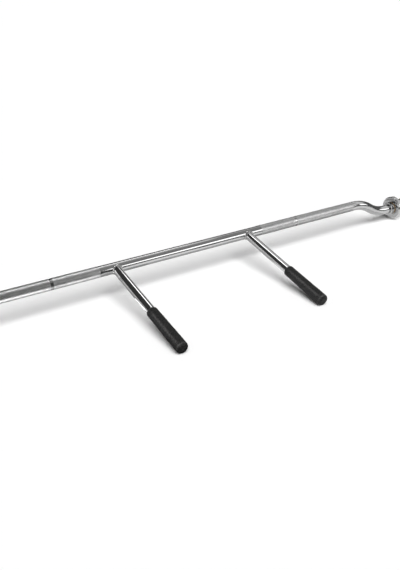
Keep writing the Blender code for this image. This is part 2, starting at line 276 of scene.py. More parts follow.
# Finger marks, and fine dust that gathers in specks.
def makeHandling():
    inputs = [("Vector", "Vector"), ("Size", "Float")]
    tree, start, end = newGroup("handlingMarks", inputs, ["Smudge", "Dust"])
    broad = addNode(tree, "ShaderNodeTexNoise")
    setInputs(broad, Detail=2.0, Roughness=0.5, Distortion=0.6)
    streaks = addNode(tree, "ShaderNodeTexNoise")
    setInputs(streaks, Detail=6.0, Roughness=0.7)
    specks = addNode(tree, "ShaderNodeTexVoronoi", feature="F1")
    look = sharedLook
    finer = (1.0, look["finerStreaks"], look["finerSpecks"])
    for node, times in zip((broad, streaks, specks), finer):
        scale = combine(tree, "MULTIPLY", start.outputs["Size"], times)
        setInputs(node, Vector=start.outputs["Vector"], Scale=scale)
    patch = mapRange(tree, broad.outputs["Fac"], *look["smudges"], 0, 1)
    streak = mapRange(tree, streaks.outputs["Fac"], *look["streaks"], look["faintest"], 1)
    speck = mapRange(tree, specks.outputs["Distance"], *look["specks"], 1, 0)
    setInputs(end, Smudge=combine(tree, "MULTIPLY", patch, streak),
              Dust=combine(tree, "MULTIPLY", speck, streak))
    return tree


# Pebbled grain of a moulded or cast surface, with its slow change of tone.
def makeGrain():
    inputs = [("Vector", "Vector"), ("Size", "Float")]
    tree, start, end = newGroup("castGrain", inputs, ["Height", "Mottle"])
    pebbles = addNode(tree, "ShaderNodeTexVoronoi", feature="SMOOTH_F1")
    setInputs(pebbles, Smoothness=0.8)
    pores = addNode(tree, "ShaderNodeTexNoise")
    setInputs(pores, Detail=3.0, Roughness=0.6)
    tone = addNode(tree, "ShaderNodeTexNoise")
    setInputs(tone, Detail=4.0, Roughness=0.6)
    for node, times in ((pebbles, 1.0), (pores, 1.0), (tone, sharedLook["slowerTone"])):
        scale = combine(tree, "MULTIPLY", start.outputs["Size"], times)
        setInputs(node, Vector=start.outputs["Vector"], Scale=scale)
    height = combine(tree, "ADD", pebbles.outputs["Distance"], pores.outputs["Fac"])
    mottle = mapRange(tree, tone.outputs["Fac"], *sharedLook["mottle"], 0, 1)
    setInputs(end, Height=height, Mottle=mottle)
    return tree


hairlines = makeHairlines()
handlingMarks = makeHandling()
castGrain = makeGrain()


# Materials

def startMaterial(name):
    material = bpy.data.materials.new(name)
    material.use_nodes = True
    tree = material.node_tree
    return material, tree, tree.nodes["Principled BSDF"]


def placeGroup(tree, group, vector, **values):
    node = addNode(tree, "ShaderNodeGroup", node_tree=group)
    setInputs(node, Vector=vector, **values)
    return node


# Object coordinates, turned first so that Y runs along a handle that droops, then scaled.
def objectVector(tree, scale=(1, 1, 1), droop=0.0):
    vector = addNode(tree, "ShaderNodeTexCoord").outputs["Object"]
    for step in ({"Rotation": (math.radians(-droop), 0, 0)}, {"Scale": scale}):
        mapping = addNode(tree, "ShaderNodeMapping", vector_type="POINT")
        setInputs(mapping, Vector=vector, **step)
        vector = mapping.outputs[0]
    return vector


def mixColour(tree, share, first, second):
    mix = addNode(tree, "ShaderNodeMix", data_type="RGBA")
    for place, value in ((6, first), (7, second)):
        if isinstance(value, tuple):
            mix.inputs[place].default_value = (*value, 1)
        else:
            tree.links.new(value, mix.inputs[place])
    tree.links.new(share, mix.inputs[0])
    return mix.outputs[2]


# Joins colour, roughness and height to a surface. The bump is a strength, and metres.
def coverSurface(tree, surface, colour, roughness, height, bump):
    relief = addNode(tree, "ShaderNodeBump")
    setInputs(relief, Strength=bump[0], Distance=bump[1], Height=height)
    setInputs(surface, Base_Color=colour, Roughness=roughness, Normal=relief.outputs[0])


chromeLook = {
    "bright": (0.740, 0.740, 0.740),
    "colour": (0.640, 0.640, 0.640),
    "dull": (0.520, 0.520, 0.520),
    # Colour of the grooves: grime and painted shade.
    "grimeAndShade": (0.085, 0.083, 0.080),
    "dust": (0.42, 0.41, 0.40),
    "dustShare": 0.10,
    "marks": 14.0,               # how many to the metre
    "lineDepth": 0.0002,
    "grimeAndShadeFrom": 0.35,           # the depth of a groove at which it begins
    "grimeAndShadeShare": 0.75,
    "leastGrimeAndShade": 0.55,          # where there are no finger marks, as a part of that share
    "knurlMarks": 22.0,
    "knurlGrain": 900.0,
    "knurlRough": (0.33, 0.45),  # where it is clean, and from this share of grime and painted shade
    "roughGrimeAndShade": 0.3,
    "knurlBump": (0.12, 0.00005),
    "weldGrain": 1400.0,
    # Painted shade in the weld's valleys, and how much of it.
    "weldValleyShade": (0.30, 0.29, 0.28),
    "valleyShadeShare": 0.45,
    "weldRough": (0.20, 0.32),
    "weldBump": (0.20, 0.0001),
}


# Chrome plate: a mirror with faint lines from the polishing wheel, finger marks and dust.
# The lines run across the axis whose scale is the large one.
def makeChrome(name, lineScale, droop=0.0, rough=(0.045, 0.13), wearAndHighlight=0.5, lines=0.05):
    material, tree, surface = startMaterial(name)
    look = chromeLook
    drawn = placeGroup(tree, hairlines, objectVector(tree, lineScale, droop))
    marks = placeGroup(tree, handlingMarks, objectVector(tree), Size=look["marks"])
    wornAndHighlight = combine(tree, "ADD", mapRange(tree, marks.outputs["Smudge"], 0, 1, 0, wearAndHighlight),
                   mapRange(tree, drawn.outputs["Dulling"], 0, 1, 0, wearAndHighlight * 0.5), clamp=True)
    colour = mixColour(tree, wornAndHighlight, look["colour"], look["dull"])
    dust = mapRange(tree, marks.outputs["Dust"], 0, 1, 0, look["dustShare"])
    colour = mixColour(tree, dust, colour, look["dust"])
    roughness = mapRange(tree, wornAndHighlight, 0, 1, *rough)
    coverSurface(tree, surface, colour, roughness, drawn.outputs["Height"],
                 (lines, look["lineDepth"]))
    setInputs(surface, Metallic=1.0)
    return material


# The rolled diamonds: polished flat tops, and grooves darkened by a little grime and by painted
# shade.
def makeKnurlChrome():
    material, tree, surface = startMaterial("knurledChrome")
    look = chromeLook
    marks = placeGroup(tree, handlingMarks, objectVector(tree), Size=look["knurlMarks"])
    grain = placeGroup(tree, castGrain, objectVector(tree), Size=look["knurlGrain"])
    groove = addNode(tree, "ShaderNodeAttribute", attribute_name="groove")
    depth = mapRange(tree, groove.outputs["Fac"], look["grimeAndShadeFrom"], 1.0, 0, look["grimeAndShadeShare"])
    patchy = mapRange(tree, marks.outputs["Smudge"], 0, 1, look["leastGrimeAndShade"], 1.0)
    grimeAndShade = combine(tree, "MULTIPLY", depth, patchy)
    plate = mixColour(tree, grain.outputs["Mottle"], look["bright"], look["colour"])
    colour = mixColour(tree, grimeAndShade, plate, look["grimeAndShade"])
    roughness = mapRange(tree, grimeAndShade, 0, look["roughGrimeAndShade"], *look["knurlRough"])
    coverSurface(tree, surface, colour, roughness, grain.outputs["Height"], look["knurlBump"])
    setInputs(surface, Metallic=1.0)
    return material


# Chromed weld metal: satin, faintly pitted, with painted shade darkening the valleys between its
# ripples.
def makeWeldChrome():
    material, tree, surface = startMaterial("weldChrome")
    look = chromeLook
    grain = placeGroup(tree, castGrain, objectVector(tree), Size=look["weldGrain"])
    paintedValleyShade = addNode(tree, "ShaderNodeAttribute", attribute_name="paintedValleyShade")
    plate = mixColour(tree, grain.outputs["Mottle"], look["colour"], look["dull"])
    shade = mapRange(tree, paintedValleyShade.outputs["Fac"], 0, 1, 0, look["valleyShadeShare"])
    colour = mixColour(tree, shade, plate, look["weldValleyShade"])
    roughness = mapRange(tree, grain.outputs["Mottle"], 0, 1, *look["weldRough"])
    coverSurface(tree, surface, colour, roughness, grain.outputs["Height"], look["weldBump"])
    setInputs(surface, Metallic=1.0)
    return material


rubberLook = {
    "dark": (0.0034, 0.0034, 0.0036),
    "pale": (0.0262, 0.0260, 0.0257),
    "rubbedAndHighlight": 0.088,             # level of the painted highlight line
    "edge": 0.090,               # and of the paler edges: wear and painted highlight
    "leastWearAndHighlight": 0.15,           # where the patches are dark
    "dust": (0.16, 0.155, 0.15),
    "dustShare": 0.12,
    "grain": 1100.0,
    "marks": 30.0,
    "patches": 3900.0,
    "rough": (0.58, 0.44),       # clean, and where it was handled
    "bump": (0.30, 0.00012),
    "index": 1.45,               # of refraction
    "gloss": 0.18,
}


# Moulded black rubber: fine pebbled grain, a painted highlight line along its upper side, and
# edges made paler by wear and by painted highlight.
def makeGripRubber():
    material, tree, surface = startMaterial("gripRubber")
    look = rubberLook
    grain = placeGroup(tree, castGrain, objectVector(tree), Size=look["grain"])
    marks = placeGroup(tree, handlingMarks, objectVector(tree), Size=look["marks"])
    patches = placeGroup(tree, castGrain, objectVector(tree), Size=look["patches"])
    colour = mixColour(tree, patches.outputs["Mottle"], look["dark"], look["pale"])
    patchy = mapRange(tree, patches.outputs["Mottle"], 0, 1, look["leastWearAndHighlight"], 1.0)
    for label, pale in (("rubbedAndHighlight", look["rubbedAndHighlight"]), ("edgeWearAndHighlight", look["edge"])):
        source = addNode(tree, "ShaderNodeAttribute", attribute_name=label)
        wornAndHighlight = combine(tree, "MULTIPLY", source.outputs["Fac"], patchy)
        colour = mixColour(tree, wornAndHighlight, colour, (pale, pale * 0.99, pale * 0.98))
    dust = mapRange(tree, marks.outputs["Dust"], 0, 1, 0, look["dustShare"])
    colour = mixColour(tree, dust, colour, look["dust"])
    roughness = mapRange(tree, marks.outputs["Smudge"], 0, 1, *look["rough"])
    coverSurface(tree, surface, colour, roughness, grain.outputs["Height"], look["bump"])
    setInputs(surface, IOR=look["index"], Specular_IOR_Level=look["gloss"])
    return material


bronzeLook = {
    "colour": (0.56, 0.38, 0.19),
    "brown": (0.36, 0.23, 0.11),
    "lines": (2600, 30, 30),     # scale of the marks of turning
    "grain": 1600.0,
    "rough": (0.26, 0.42),
    "bump": (0.12, 0.0001),
}


# Oiled sintered bronze: turned, porous, browned where the oil has dried.
def makeBronze():
    material, tree, surface = startMaterial("oiledBronze")
    look = bronzeLook
    turned = placeGroup(tree, hairlines, objectVector(tree, look["lines"]))
    grain = placeGroup(tree, castGrain, objectVector(tree), Size=look["grain"])
    colour = mixColour(tree, grain.outputs["Mottle"], look["colour"], look["brown"])
    roughness = mapRange(tree, turned.outputs["Dulling"], 0, 1, *look["rough"])
    height = combine(tree, "ADD", turned.outputs["Height"], grain.outputs["Height"], clamp=True)
    coverSurface(tree, surface, colour, roughness, height, look["bump"])
    setInputs(surface, Metallic=1.0)
    return material


springLook = {
    "dark": (0.050, 0.050, 0.055),
    "pale": (0.085, 0.080, 0.078),
    "metal": (0.33, 0.33, 0.34),
    "metalShare": 0.7,
    "grain": 1300.0,
    "marks": 60.0,
    "rough": (0.42, 0.28),       # blackened, and rubbed
    "bump": (0.15, 0.00006),
}


# Blackened spring steel, rubbed back to metal in places.
def makeSpringSteel():
    material, tree, surface = startMaterial("blackSpringSteel")
    look = springLook
    grain = placeGroup(tree, castGrain, objectVector(tree), Size=look["grain"])
    marks = placeGroup(tree, handlingMarks, objectVector(tree), Size=look["marks"])
    colour = mixColour(tree, grain.outputs["Mottle"], look["dark"], look["pale"])
    rubbedAndHighlight = mapRange(tree, marks.outputs["Smudge"], 0, 1, 0, look["metalShare"])
    colour = mixColour(tree, rubbedAndHighlight, colour, look["metal"])
    roughness = mapRange(tree, marks.outputs["Smudge"], 0, 1, *look["rough"])
    coverSurface(tree, surface, colour, roughness, grain.outputs["Height"], look["bump"])
    setInputs(surface, Metallic=1.0)
    return material


barChrome = makeChrome("polishedBar", (2200, 26, 26))
handleChrome = makeChrome("polishedHandle", (26, 2200, 26), droop=handles["droop"])
sleeveChrome = makeChrome("turnedSleeve", (3200, 14, 14), rough=(0.07, 0.20), wearAndHighlight=0.8,
                          lines=0.10)
knurlChrome = makeKnurlChrome()
weldChrome = makeWeldChrome()
gripRubber = makeGripRubber()
bronze = makeBronze()
springSteel = makeSpringSteel()
print("materials made")


# Shaft: the smooth bar with its bends and journals. Under the knurling it is a little thinner.

knurl = {
    "lengths": (("inner", 0.2695, 0.401), ("outer", 0.409, 0.648)),
    "tip": 0.0157,               # radius at the flat tops of the diamonds
    "root": 0.01560,             # and in the grooves
    "seatRadius": 0.0150,        # the shaft's radius under the knurled skin
    "seatStep": 0.0001,          # the length over which the shaft drops to that radius
    "liningGap": 0.0001,         # between that radius and the skin's inner face
    "halfPitch": 0.00096,        # half a diamond, along the bar
    "around": 122,               # half diamonds round the bar
    "top": 0.60,                 # half a flat top, as a share of half a diamond
    "unevenness": 0.00003,       # depth of two slow waves
    "slowWaves": ((211, 3), (97, -2)),         # radians in a metre, and waves in a turn
    "tilt": 0.000007,            # depth of a fast wave, which tips each flat top a little
    "fastWave": (9170, 57),
}


# The centreline: level, then an arc down and an arc back to level. Where a distance x lies
# past the bend's start, the slope is the arc sine of the part past it over the radius.
def centreline(x):
    away = np.abs(x)
    reach = math.sin(bendTurn)
    first = np.arcsin(np.clip((away - bar["bendStart"]) / bar["bendRadius"], 0, reach))
    second = np.arcsin(np.clip((bendEnd - away) / bar["bendRadius"], 0, reach))
    middle = (bar["bendStart"] + bendEnd) / 2
    falling = bar["bendRadius"] * (1 - np.cos(first))
    levelling = bar["drop"] - bar["bendRadius"] * (1 - np.cos(second))
    drop = np.where(away < middle, falling, levelling)
    slope = np.where(away < middle, first, second) * -np.sign(x)
    return drop, slope


# Points on the bar: the point of the centreline at x, plus the radius times (cos t of -Y plus
# sin t of the upward direction square to the bar).
def onBar(x, t, radius):
    x, t, radius = np.broadcast_arrays(x, t, radius)
    drop, slope = centreline(x)
    zero = np.zeros(x.shape)
    middle = np.stack([x, zero + bar["axisY"], bar["axisZ"] - drop], axis=-1)
    upwards = np.stack([-np.sin(slope), zero, np.cos(slope)], axis=-1)
    forwards = np.array([0.0, -1.0, 0.0])
    ring = np.cos(t)[..., None] * forwards + np.sin(t)[..., None] * upwards
    return middle + radius[..., None] * ring


# The bar's outline as (x, radius): one half from the middle outwards, and its mirror image.
def shaftStations():
    plain = bar["radius"]
    seat = knurl["seatRadius"]
    journal = bar["journalRadius"]
    step = knurl["seatStep"]
    bend = np.linspace(bar["bendStart"], bendEnd, bar["bendRows"])
    bend = np.stack([bend, np.full_like(bend, plain)], axis=-1)
    inner = [(x, plain) for x in bar["plainRows"]]
    for _, start, end in knurl["lengths"]:
        inner += [(start, plain), (start + step, seat), (end - step, seat), (end, plain)]
    outer = [(bar["journalStart"], plain), (bar["journalStart"], journal),
             (bar["grooveStart"], journal), (bar["grooveStart"], bar["grooveRadius"]),
             (bar["grooveEnd"], bar["grooveRadius"]), (bar["grooveEnd"], journal),
             (bar["end"] - bar["endChamfer"], journal),
             (bar["end"], journal - bar["endChamfer"])]
    half = np.concatenate([np.array(inner), bend, np.array(outer)])
    mirrored = half[::-1] * np.array([-1, 1])
    return np.concatenate([mirrored, half])


def buildShaft():
    x, radius = shaftStations().T[..., None]
    t = 2 * np.pi * np.arange(bar["around"]) / bar["around"]
    points, faces = shell(onBar(x, t, radius), loop=False)
    addPiece("shaft_bar", points, faces, barChrome, "bar", ["shaft"])


# A knurled skin. On a grid of half diamonds the grooves cross where row plus column is even.
# Round each middle of a diamond lies a flat top, whose corners are the given share of the way
# to the four crossings. Its radius dips by the unevenness times one plus a product of sines.
def buildKnurl(name, side, start, end):
    rows = int(round((end - start) / knurl["halfPitch"])) + 1
    columns = knurl["around"]
    row, column = np.meshgrid(np.arange(rows), np.arange(columns), indexing="ij")
    border = (row == 0) | (row == rows - 1)
    low = border | ((row + column) % 2 == 0)
    here = np.cumsum(low).reshape(rows, columns) - 1
    middleRow, middleColumn = np.nonzero(~low)
    towards = np.array([(-1, 0), (0, 1), (1, 0), (0, -1)])
    corners = here[middleRow[:, None] + towards[:, 0],
                   (middleColumn[:, None] + towards[:, 1]) % columns]
    topRow = middleRow[:, None] + knurl["top"] * towards[:, 0]
    topColumn = middleColumn[:, None] + knurl["top"] * towards[:, 1]
    place = np.concatenate([np.stack([row[low], column[low]], axis=-1),
                            np.stack([topRow.ravel(), topColumn.ravel()], axis=-1)])
    x = start + (end - start) * place[:, 0] / (rows - 1)
    turn = 2 * np.pi * place[:, 1] / columns
    count = int(low.sum())
    waves = (*knurl["slowWaves"], knurl["fastWave"])
    slow, crossing, fast = (np.sin(x * along + turn * around) for along, around in waves)
    radius = knurl["tip"] - knurl["unevenness"] * (1 + slow * crossing)
    radius -= knurl["tilt"] * (1 + fast)
    radius[:count] = knurl["root"]
    lining = onBar(side * np.array([[end], [start]]), 2 * np.pi * np.arange(columns) / columns,
                   knurl["seatRadius"] + knurl["liningGap"])
    points = np.concatenate([onBar(side * x, turn, radius), lining.reshape(-1, 3)])
    tops = count + np.arange(middleRow.size * 4).reshape(-1, 4)
    beside = np.roll(corners, -1, axis=1)
    slopes = np.stack([corners, beside, np.roll(tops, -1, axis=1), tops], axis=-1)
    faces = [tops, slopes.reshape(-1, 4)]
    for edge, inward, flip in ((0, 1, 1), (rows - 1, rows - 2, -1)):
        gap = np.flatnonzero((edge + np.arange(columns)) % 2)
        before, after = here[edge, gap - 1], here[edge, (gap + 1) % columns]
        for first, second in ((before, here[edge, gap]), (here[edge, gap], after)):
            faces.append(np.stack([first, second, here[inward, gap]][::flip], axis=-1))
    inner = len(points) - 2 * columns + np.arange(2 * columns).reshape(2, columns)
    rings = np.concatenate([here[-1:], inner, here[:1]])
    beside = np.roll(rings, -1, axis=1)
    ends = np.stack([rings[:-1], beside[:-1], beside[1:], rings[1:]], axis=-1)
    faces.append(ends.reshape(-1, 4))
    piece = addPiece(name, points, faces, knurlChrome, "bar", ["shaft"])
    groove = np.ones(len(points))
    groove[tops.ravel()] = 0.0
    markPoints(piece, "groove", groove)


buildShaft()
for word, side in sides:
    for part, start, end in knurl["lengths"]:
        buildKnurl(word + "_" + part + "_knurl", side, start, end)
print("shaft built")


# Handles: tube, weld and grip, in a frame whose first direction runs out along the handle.

weld = {
    "leg": 0.0036,               # how far it reaches up the tube and out over the shaft
    "bulge": 0.0005,
    "ripple": 0.00022,
    "ripples": 34,
    "crescent": 1.6,             # how far the ripples bow, in radians of a ripple
    "ripplePower": 0.6,          # under 1 for narrow valleys and broad backs
    "uneven": ((3, 0.10, 1), (7, 0.06, 2)),    # waves of the leg: turns, height, phase
    "sunk": 0.0010,              # how far its root lies inside the joint
    "tuck": 0.0001,              # how far its edges lie inside the tube and the shaft
    "around": 408,
    "across": 11,
}

grip = {
    "start": 0.207,
    "length": 0.15596,
    "innerRadius": 0.01545,
    "outerRadius": 0.01648,
    "boreRadius": 0.0130,
    "boreEnd": 0.3553,
    "rimLength": 0.004,
    "rimHeight": 0.00195,
    "tipRadius": 0.009,
    "shoulder": 0.0125,          # from the tip to a shallow ring round it
    "shoulderDepth": 0.00022,
    "shoulderWidth": 0.0011,
    "highlightAngle": 133.0,        # a painted highlight line along the grip, and its half width
    "highlightWidth": 12.0,
    "flankAngle": 168.0,         # and a broader, weaker painted highlight beside it
    "flankWidth": 30.0,
    "flankShare": 0.35,
    "highlightFade": (0.02, 0.03),  # over this length from the tip, and from the rim
    "wearAndHighlightAngle": 115.0,          # edges are paler most on this side: wear, and painted highlight where light falls
    "tipHighlight": (0.0070, 0.0022),               # painted highlight round the tip's shoulder: distance from the tip, and width
    "rimWearAndHighlight": (0.001, 0.003, 0.6),            # worn rim, paler on the upper side as painted highlight: distance from the rim, width and share
    "endWear": 0.1,              # in the middle of the tip's face
    "rows": (10, 90, 16),        # along the rim, the body and the tip
    "around": 96,
}


def handleFrame(side):
    droop = math.radians(handles["droop"])
    foot = shaftMiddle + np.array([side * handles["spacing"] / 2, 0, 0])
    outwards = np.array([0, -math.cos(droop), -math.sin(droop)])
    across = np.array([1.0, 0, 0])
    upwards = np.array([0, -math.sin(droop), math.cos(droop)])
    return foot, outwards, across, upwards


# The tube: rings of cos t across and sin t upwards. At the foot each point lies where the
# tube meets the round shaft, at the square root of R^2 - (r sin t)^2 from the shaft's axis.
def buildTube(word, side):
    foot, outwards, across, upwards = handleFrame(side)
    t = 2 * np.pi * np.arange(handles["around"]) / handles["around"]
    bore = handles["radius"] - handles["wall"]
    radius = np.array([handles["radius"]] * 3 + [bore] * 2)[:, None]
    shaft = bar["radius"] + handles["rootGap"]
    saddle = np.sqrt(shaft ** 2 - (radius * np.sin(t)) ** 2)
    share = np.array([0, 0.5, 1, 1, 0])[:, None]
    along = saddle * (1 - share) + handles["tubeEnd"] * share
    ring = np.cos(t)[:, None] * across + np.sin(t)[:, None] * upwards
    grid = foot + along[..., None] * outwards + radius[..., None] * ring[None]
    points, faces = shell(grid, loop=True)
    addPiece(word + "_handle", points, faces, handleChrome, "bar", [word + "_handle_tube"])


# The weld bead: across it v runs from the tube to the shaft on the straight line between the
# two legs, plus a bulge of 4v(1-v), which rises and falls with the ripples round the joint.
def buildWeld(word, side):
    foot, outwards, across, upwards = handleFrame(side)
    t = 2 * np.pi * np.arange(weld["around"]) / weld["around"]
    v = np.linspace(0, 1, weld["across"])[:, None]
    rise = handles["radius"] * np.sin(t)
    lean = np.arcsin(rise / bar["radius"])
    joint = np.stack([np.sqrt(bar["radius"] ** 2 - rise ** 2), handles["radius"] * np.cos(t),
                      rise], axis=-1)
    up = np.stack([np.ones_like(t), 0 * t, 0 * t], axis=-1)
    out = unit(np.stack([-np.sin(lean) * np.sin(t), np.cos(t), np.cos(lean) * np.sin(t)],
                        axis=-1))
    uneven = np.ones_like(t)
    for turns, size, phase in weld["uneven"]:
        uneven = uneven + size * np.sin(turns * t + phase * side)
    leg = weld["leg"] * uneven[:, None]
    crescent = weld["ripples"] * t + weld["crescent"] * (2 * v - 1) ** 2
    wave = np.abs(np.sin(crescent / 2)) ** weld["ripplePower"]
    height = (weld["bulge"] + weld["ripple"] * (wave - 0.5)) * 4 * v * (1 - v)
    face = joint + leg * ((1 - v)[..., None] * up + v[..., None] * out)
    face = face + height[..., None] * unit(up + out)
    far = np.hypot(face[..., 0], face[..., 2])
    shaft, tube = bar["radius"] - weld["tuck"], handles["radius"] - weld["tuck"]
    onShaft = np.where(v == 1, shaft / far, np.maximum(far, shaft) / far)
    face = face * np.stack([onShaft, np.ones_like(far), onShaft], axis=-1)
    beside = np.hypot(face[..., 1], face[..., 2])
    onTube = np.where(v == 0, tube / beside, 1.0)
    face = face * np.stack([np.ones_like(far), onTube, onTube], axis=-1)
    root = (joint - weld["sunk"] * unit(up + out))[None]
    grid = np.concatenate([face, root])
    world = foot + grid[..., 0, None] * outwards + grid[..., 1, None] * across
    world = world + grid[..., 2, None] * upwards
    points, faces = shell(world, loop=True)
    piece = addPiece(word + "_weld", points, faces, weldChrome, "bar",
                     [word + "_handle_weld"], sharpAngle=50)
    # Painted shade: 1 in the valleys between the ripples and on the root, 0 on their backs.
    paintedValleyShade = np.concatenate([(1 - wave) * (0 * v + 1), np.ones((1, weld["around"]))])
    markPoints(piece, "paintedValleyShade", paintedValleyShade.ravel())


# The grip's outline as (distance from the shaft's axis, radius): a quarter of an ellipse for
# the rim, a straight flare, a quarter circle for the tip, and at the shoulder a shallow ring,
# as deep as e to the power of minus the square of the distance from it over its width.
def gripOutline():
    end = grip["start"] + grip["length"]
    rimRows, bodyRows, tipRows = grip["rows"]
    quarter = np.linspace(0, np.pi / 2, rimRows)
    rimAlong = grip["start"] + grip["rimLength"] * (1 - np.cos(quarter))
    rimRadius = grip["innerRadius"] - grip["rimHeight"] * (1 - np.sin(quarter))
    tipQuarter = np.linspace(0, np.pi / 2, tipRows)
    tipAlong = end - grip["tipRadius"] * (1 - np.sin(tipQuarter))
    tipRadius = grip["outerRadius"] - grip["tipRadius"] * (1 - np.cos(tipQuarter))
    bodyAlong = np.linspace(rimAlong[-1], tipAlong[0], bodyRows)[1:-1]
    share = (bodyAlong - rimAlong[-1]) / (tipAlong[0] - rimAlong[-1])
    bodyRadius = grip["innerRadius"] + (grip["outerRadius"] - grip["innerRadius"]) * share
    offset = (bodyAlong - (end - grip["shoulder"])) / grip["shoulderWidth"]
    bodyRadius = bodyRadius - grip["shoulderDepth"] * np.exp(-offset ** 2)
    along = np.concatenate([[grip["boreEnd"], grip["start"]], rimAlong, bodyAlong, tipAlong])
    radius = np.concatenate([[grip["boreRadius"]] * 2, rimRadius, bodyRadius, tipRadius])
    return np.stack([along, radius], axis=-1)


# Paler edges, from wear and painted highlight, and the painted highlight lines fall off in the
# same way, with distance or angle over a width.
def buildGrip(word, side):
    foot, outwards, across, upwards = handleFrame(side)
    outline = gripOutline()
    grid = turnedGrid(outline, foot, outwards, across, upwards, grip["around"])
    points, faces = shell(grid, loop=False)
    piece = addPiece(word + "_rubber_grip", points, faces, gripRubber, "bar",
                     [word + "_grip"], sharpAngle=40)
    along = outline[:, 0, None]
    fromTip = grip["start"] + grip["length"] - along
    fromRim = along - grip["start"]
    t = 360 * np.arange(grip["around"]) / grip["around"]
    # Paler towards the upper side, where light falls: painted highlight.
    topHalf = 0.5 + 0.5 * np.cos(np.radians(t - grip["wearAndHighlightAngle"]))
    outside = outline[:, 1, None] > grip["boreRadius"] + 0.0001
    tipPlace, tipWidth = grip["tipHighlight"]
    rimPlace, rimWidth, rimShare = grip["rimWearAndHighlight"]
    rim = rimShare * np.exp(-((fromRim - rimPlace) / rimWidth) ** 2)
    tip = np.exp(-((fromTip - tipPlace) / tipWidth) ** 2)
    wearAndHighlight = (tip * topHalf ** 2 + rim * topHalf) * outside
    ends = [0.0, grip["endWear"]]
    markPoints(piece, "edgeWearAndHighlight", np.concatenate([wearAndHighlight.ravel(), ends]))
    # A painted highlight line along the upper side of the grip, with a weaker one beside it.
    line = np.exp(-((t - grip["highlightAngle"]) / grip["highlightWidth"]) ** 2)
    flank = np.exp(-((t - grip["flankAngle"]) / grip["flankWidth"]) ** 2)
    line += grip["flankShare"] * flank
    tipFade, rimFade = grip["highlightFade"]
    length = np.clip(fromTip / tipFade, 0, 1) * np.clip(fromRim / rimFade, 0, 1)
    rubbedAndHighlight = line * length * outside
    markPoints(piece, "rubbedAndHighlight", np.concatenate([rubbedAndHighlight.ravel(), [0.0, 0.0]]))


for word, side in sides:
    buildTube(word, side)
    buildWeld(word, side)
    buildGrip(word, side)
print("handles built")


# Sleeves: each turned piece takes its length and radius from its solid, and its section from
# here, as (distance outwards along the sleeve, radius).

sleeve = {
    "collarBore": 0.0158,
    "collarEdge": 0.0016,
    "collarBoreEdge": 0.0003,
    "tubeBore": 0.0183,
    "tubeEdge": 0.0016,
    "counterboreEdge": 0.0007,
    "counterbore": 0.0213,
    "counterboreDepth": 0.030,
    "ringGrooveFrom": 0.0042,    # from the sleeve's end to the two walls of the groove
    "ringGrooveTo": 0.0063,
    "ringGrooveDepth": 0.0012,
    "flangeBore": 0.0253,
    "flangeEdge": 0.0045,
    "flangeBoreEdges": (0.0003, 0.0004),
    "capDome": 0.0015,
    "domeRows": 24,
    "capRim": 0.0028,
    "capInnermost": 0.002,       # radius of the last ring of points on its hidden face
    "capEdges": (0.0004, 0.0003),
    "ringHeight": 0.0022,
    "ringGap": 0.012,
    "ringEdge": 0.00025,
    "ringRows": 181,
    "lugHeight": 0.0026,
    "lugAngle": 7.0,
    "lugSteepness": 1.6,
    "bushingBore": 0.0153,
    "bushingFlange": 0.0025,     # thickness
    "bushingGap": 0.0003,        # to the sleeve's bore
    "bushingEdges": (0.0002, 0.0004, 0.0004, 0, 0, 0),
    "around": 128,
}


# Where a turned node begins and ends, measured outwards, and its radius.
def turnedSize(node, side):
    low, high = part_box(node)
    ends = sorted((side * low.x, side * high.x))
    return ends[0], ends[1], (high.z - low.z) / 2


def addTurned(name, node, side, profile, material, body, loop=True):
    axis = np.array([float(side), 0, 0])
    across = np.array([0, -1.0, 0])
    upwards = np.array([0, 0, 1.0])
    grid = turnedGrid(profile, sleeveMiddle, axis, across, upwards, sleeve["around"])
    points, faces = shell(grid, loop)
    addPiece(name, points, faces, material, body, [node])


def buildCollar(word, side):
    start, end, radius = turnedSize(word + "_thrust_collar", side)
    edge, boreEdge = sleeve["collarEdge"], sleeve["collarBoreEdge"]
    bore = sleeve["collarBore"]
    corners = [(start, bore), (start, radius), (end, radius), (end, bore)]
    profile = softCorners(corners, [boreEdge, edge, edge, boreEdge])
    addTurned(word + "_collar", word + "_thrust_collar", side, profile, sleeveChrome, "bar")


def buildSleeveTube(word, side):
    start, end, radius = turnedSize(word + "_sleeve_tube", side)
    bore, wide = sleeve["tubeBore"], sleeve["counterbore"]
    shoulder = end - sleeve["counterboreDepth"]
    wall = (end - sleeve["ringGrooveTo"], end - sleeve["ringGrooveFrom"])
    root = wide + sleeve["ringGrooveDepth"]
    corners = [(start, bore), (start, radius), (end, radius), (end, wide), (wall[1], wide),
               (wall[1], root), (wall[0], root), (wall[0], wide), (shoulder, wide),
               (shoulder, bore)]
    edges = [0, 0, sleeve["tubeEdge"], sleeve["counterboreEdge"], 0, 0, 0, 0, 0, 0]
    profile = softCorners(corners, edges)
    addTurned(word + "_sleeve", word + "_sleeve_tube", side, profile, sleeveChrome,
              word + "_sleeve")


def buildFlange(word, side):
    start, end, radius = turnedSize(word + "_sleeve_flange", side)
    edge, bore = sleeve["flangeEdge"], sleeve["flangeBore"]
    inboard, outboard = sleeve["flangeBoreEdges"]
    corners = [(start, bore), (start, radius), (end, radius), (end, bore)]
    profile = softCorners(corners, [inboard, edge, edge, outboard], steps=10)
    addTurned(word + "_flange", word + "_sleeve_flange", side, profile, sleeveChrome,
              word + "_sleeve")


